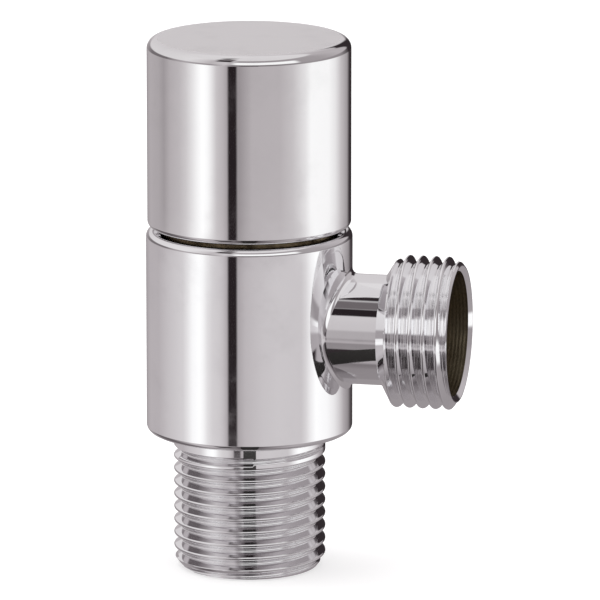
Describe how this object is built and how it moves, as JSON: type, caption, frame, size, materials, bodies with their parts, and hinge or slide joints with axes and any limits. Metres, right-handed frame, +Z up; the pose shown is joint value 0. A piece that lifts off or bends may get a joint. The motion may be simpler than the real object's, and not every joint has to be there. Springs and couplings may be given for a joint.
{
  "type": "angle stop valve",
  "caption": "Angle stop valve: a round quarter-turn handle over a ceramic disc cartridge, a male-threaded inlet below and a male-threaded outlet at the side.",
  "frame": {"origin": "centre of the inlet's end face, on the barrel's axis", "axes": "+Z up the barrel's axis from the inlet to the handle, +X out along the outlet's axis, +Y to the back, where the handle's set screw is"},
  "size_m": [0.0437, 0.0284, 0.074],
  "materials": {
    "body_chrome": "polished chrome plate over brass; bare brass in the waterways",
    "handle_chrome": "polished chrome plate over cast metal, satin top face",
    "plug_plastic": "grey plastic plug",
    "screw_steel": "dark steel socket screws",
    "clip_steel": "spring steel",
    "cartridge_brass": "machined brass",
    "spindle_brass": "machined brass",
    "washer_nylon": "white nylon",
    "seal_rubber": "black rubber",
    "ring_steel": "stainless steel ring",
    "disc_ceramic": "lapped white ceramic",
    "strainer_plastic": "moulded plastic",
    "mesh_steel": "woven stainless wire"
  },
  "bodies": {
    "valve": {"valve_body": "body_chrome", "cartridge_housing": "cartridge_brass", "housing_o_ring": "seal_rubber", "seat_seal": "seal_rubber", "seal_support_ring": "ring_steel", "fixed_disc": "disc_ceramic", "thrust_washer": "washer_nylon", "glide_washer": "washer_nylon", "strainer_frame": "strainer_plastic", "strainer_mesh": "mesh_steel"},
    "handle": {"handle_shell": "handle_chrome", "handle_set_screw": "screw_steel", "set_screw_plug": "plug_plastic"},
    "spindle_group": {"spindle": "spindle_brass", "spindle_o_ring_lower": "seal_rubber", "spindle_o_ring_upper": "seal_rubber", "retaining_clip": "clip_steel", "spline_adapter": "cartridge_brass", "adapter_screw": "screw_steel"},
    "disc": {"moving_disc": "disc_ceramic"}
  },
  "joints": [
    {"name": "handle_turn", "type": "hinge", "parent": "valve", "child": "handle", "pos_m": [0, 0, 0.0474], "axis": [0, 0, 1], "range_deg": [0, 90]},
    {"name": "spindle_turn", "type": "hinge", "parent": "valve", "child": "spindle_group", "pos_m": [0, 0, 0.0474], "axis": [0, 0, 1], "range_deg": [0, 90]},
    {"name": "disc_turn", "type": "hinge", "parent": "valve", "child": "disc", "pos_m": [0, 0, 0.032], "axis": [0, 0, 1], "range_deg": [0, 90]}
  ],
  "couplings": [
    {"joint": "spindle_turn", "follows": "handle_turn", "ratio": 1},
    {"joint": "disc_turn", "follows": "handle_turn", "ratio": 1}
  ]
}
